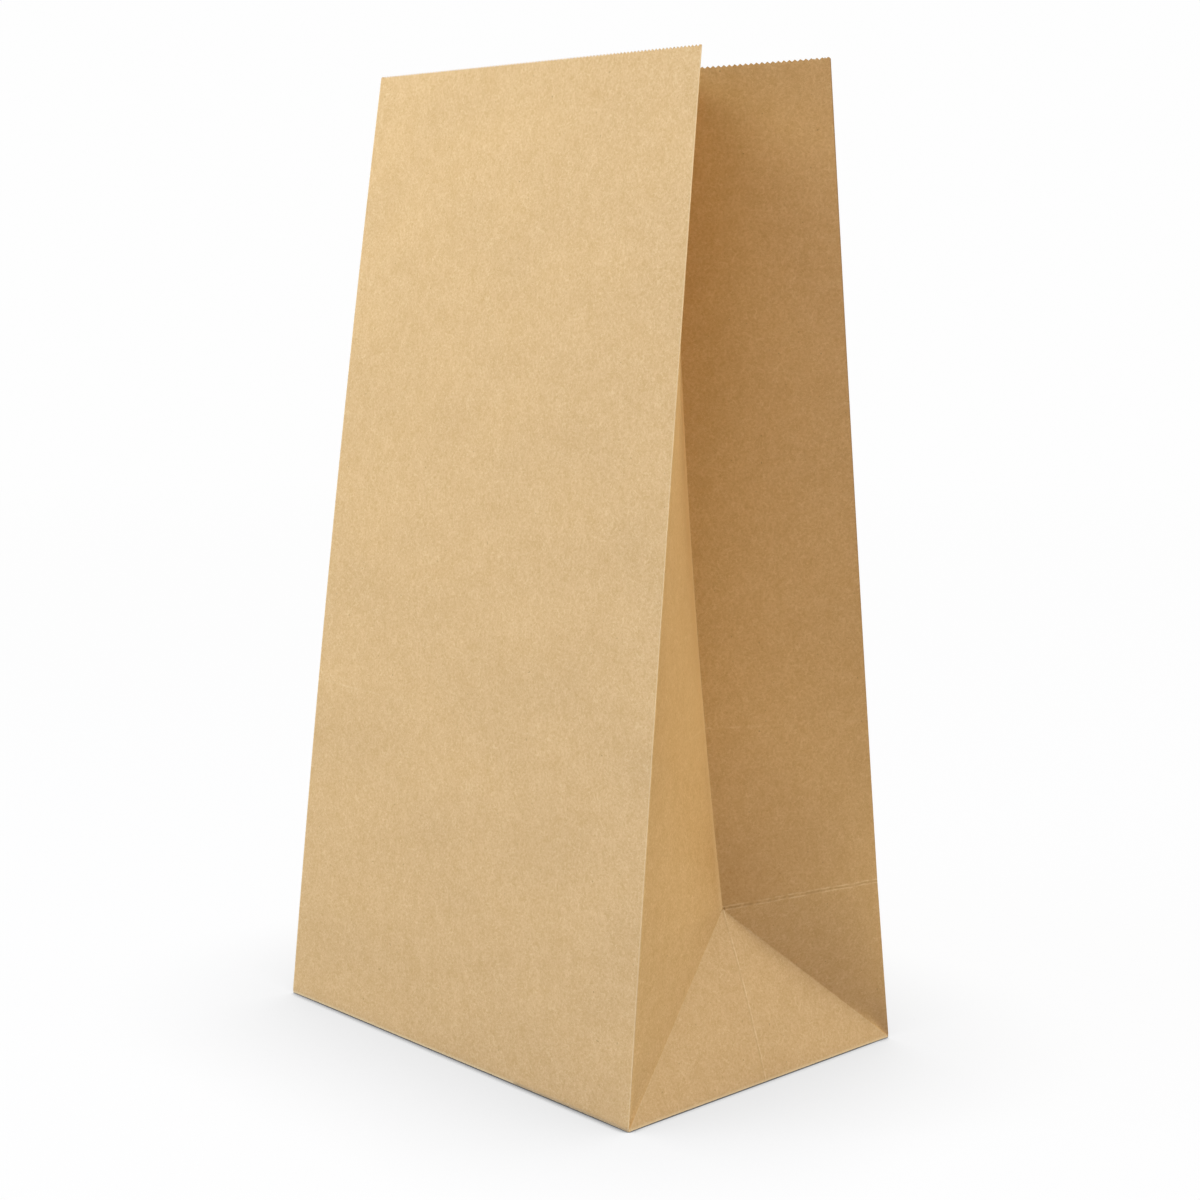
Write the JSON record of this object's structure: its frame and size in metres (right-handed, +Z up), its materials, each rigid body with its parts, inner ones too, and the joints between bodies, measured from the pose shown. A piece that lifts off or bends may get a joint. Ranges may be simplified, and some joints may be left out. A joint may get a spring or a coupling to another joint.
{
  "type": "paper lunch bag",
  "caption": "Self-opening brown kraft paper bag standing open, with tucked side gussets, a flat folded base and a pinked mouth.",
  "frame": {"origin": "middle of the base, on the ground the bag stands on", "axes": "+Z up through the mouth, -Y out of the front panel, +X towards the gusset on the picture's right"},
  "size_m": [0.1506, 0.1053, 0.2794],
  "materials": {
    "kraft_paper": "uncoated brown kraft paper, matt"
  },
  "bodies": {
    "root": {"bag": "kraft_paper"}
  },
  "joints": []
}
